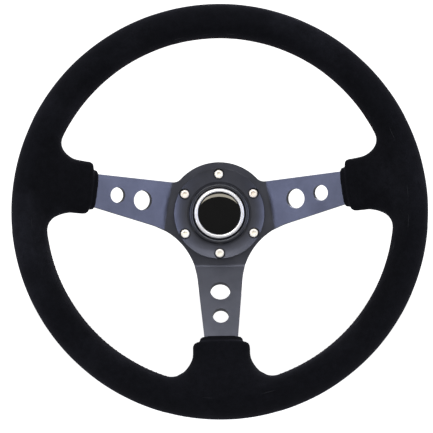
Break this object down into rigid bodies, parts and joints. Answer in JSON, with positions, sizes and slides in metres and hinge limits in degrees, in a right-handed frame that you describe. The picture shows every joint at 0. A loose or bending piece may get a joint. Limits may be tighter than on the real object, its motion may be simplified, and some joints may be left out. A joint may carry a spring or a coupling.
{
  "type": "quick release steering wheel",
  "caption": "Deep-dish suede steering wheel with flat drilled spokes, a horn button and a ball-lock quick-release hub on a splined column base.",
  "frame": {"origin": "centre of the column base's back face, on the steering axis", "axes": "+Y along the steering axis towards the column, +Z to twelve o'clock, +X to the driver's right; the driver is at -Y"},
  "size_m": [0.35, 0.1388, 0.35],
  "materials": {
    "black_suede": "brushed suede nap, matt",
    "moulded_foam": "moulded polyurethane",
    "slate_anodised": "satin slate-black anodised",
    "black_anodised": "satin black anodised",
    "satin_aluminium": "clear anodised, turned",
    "bright_steel": "bright zinc plate",
    "rim_steel": "plain",
    "black_plastic": "satin",
    "black_gloss": "clear-coated gloss",
    "chrome": "polished",
    "brass": "plain brass",
    "lead_rubber": "insulation"
  },
  "bodies": {
    "column_side": {"base_spigot": "black_anodised", "base_insulator": "black_plastic", "base_contact": "brass"},
    "wheel": {"release_hub": "black_anodised", "retaining_ring": "bright_steel", "contact_carrier": "black_plastic", "contact_terminal": "brass", "horn_lead": "lead_rubber", "spoke_frame": "slate_anodised", "rim_core": "rim_steel", "rim_foam": "moulded_foam", "suede_cover": "black_suede", "horn_ring": "slate_anodised", "horn_housing": "black_plastic", "horn_bezel": "black_plastic", "horn_contact_base": "brass", "core_rivet_1": "rim_steel", "core_rivet_2": "rim_steel", "core_rivet_3": "rim_steel", "core_rivet_4": "rim_steel", "core_rivet_5": "rim_steel", "core_rivet_6": "rim_steel", "wheel_screw_1": "bright_steel", "wheel_screw_2": "bright_steel", "wheel_screw_3": "bright_steel", "wheel_screw_4": "bright_steel", "wheel_screw_5": "bright_steel", "wheel_screw_6": "bright_steel"},
    "collar": {"release_collar": "satin_aluminium", "collar_spring": "bright_steel"},
    "lock_ball_1": {"lock_ball_1": "bright_steel"},
    "lock_ball_2": {"lock_ball_2": "bright_steel"},
    "lock_ball_3": {"lock_ball_3": "bright_steel"},
    "lock_ball_4": {"lock_ball_4": "bright_steel"},
    "lock_ball_5": {"lock_ball_5": "bright_steel"},
    "lock_ball_6": {"lock_ball_6": "bright_steel"},
    "contact_pin": {"contact_pin": "brass", "contact_pin_spring": "bright_steel"},
    "horn_button": {"horn_cap": "black_plastic", "horn_trim_ring": "chrome", "horn_dome": "black_gloss", "horn_contact_plate": "brass", "horn_spring": "bright_steel"}
  },
  "joints": [
    {"name": "wheel_pull_off", "type": "slide", "parent": "column_side", "child": "wheel", "axis": [0, -1, 0], "range_m": [0, 0.045]},
    {"name": "collar_pull", "type": "slide", "parent": "wheel", "child": "collar", "axis": [0, -1, 0], "range_m": [-0.006, 0], "stiffness_N_per_m": 150, "springref_m": -0.0365, "deforming": ["collar_spring"]},
    {"name": "lock_ball_1_slide", "type": "slide", "parent": "wheel", "child": "lock_ball_1", "axis": [0.866, 0, 0.5], "range_m": [-0.0021, 0]},
    {"name": "lock_ball_2_slide", "type": "slide", "parent": "wheel", "child": "lock_ball_2", "axis": [0, 0, 1], "range_m": [-0.0021, 0]},
    {"name": "lock_ball_3_slide", "type": "slide", "parent": "wheel", "child": "lock_ball_3", "axis": [-0.866, 0, 0.5], "range_m": [-0.0021, 0]},
    {"name": "lock_ball_4_slide", "type": "slide", "parent": "wheel", "child": "lock_ball_4", "axis": [-0.866, 0, -0.5], "range_m": [-0.0021, 0]},
    {"name": "lock_ball_5_slide", "type": "slide", "parent": "wheel", "child": "lock_ball_5", "axis": [0, 0, -1], "range_m": [-0.0021, 0]},
    {"name": "lock_ball_6_slide", "type": "slide", "parent": "wheel", "child": "lock_ball_6", "axis": [0.866, 0, -0.5], "range_m": [-0.0021, 0]},
    {"name": "contact_pin_press", "type": "slide", "parent": "wheel", "child": "contact_pin", "axis": [0, -1, 0], "range_m": [0, 0.0015], "stiffness_N_per_m": 300, "springref_m": -0.002, "deforming": ["contact_pin_spring"]},
    {"name": "horn_press", "type": "slide", "parent": "wheel", "child": "horn_button", "axis": [0, 1, 0], "range_m": [0, 0.0018], "stiffness_N_per_m": 1500, "springref_m": -0.003, "deforming": ["horn_spring"]}
  ],
  "couplings": [
    {"joint": "lock_ball_1_slide", "follows": "collar_pull", "ratio": 0.33333},
    {"joint": "lock_ball_2_slide", "follows": "collar_pull", "ratio": 0.33333},
    {"joint": "lock_ball_3_slide", "follows": "collar_pull", "ratio": 0.33333},
    {"joint": "lock_ball_4_slide", "follows": "collar_pull", "ratio": 0.33333},
    {"joint": "lock_ball_5_slide", "follows": "collar_pull", "ratio": 0.33333},
    {"joint": "lock_ball_6_slide", "follows": "collar_pull", "ratio": 0.33333}
  ]
}
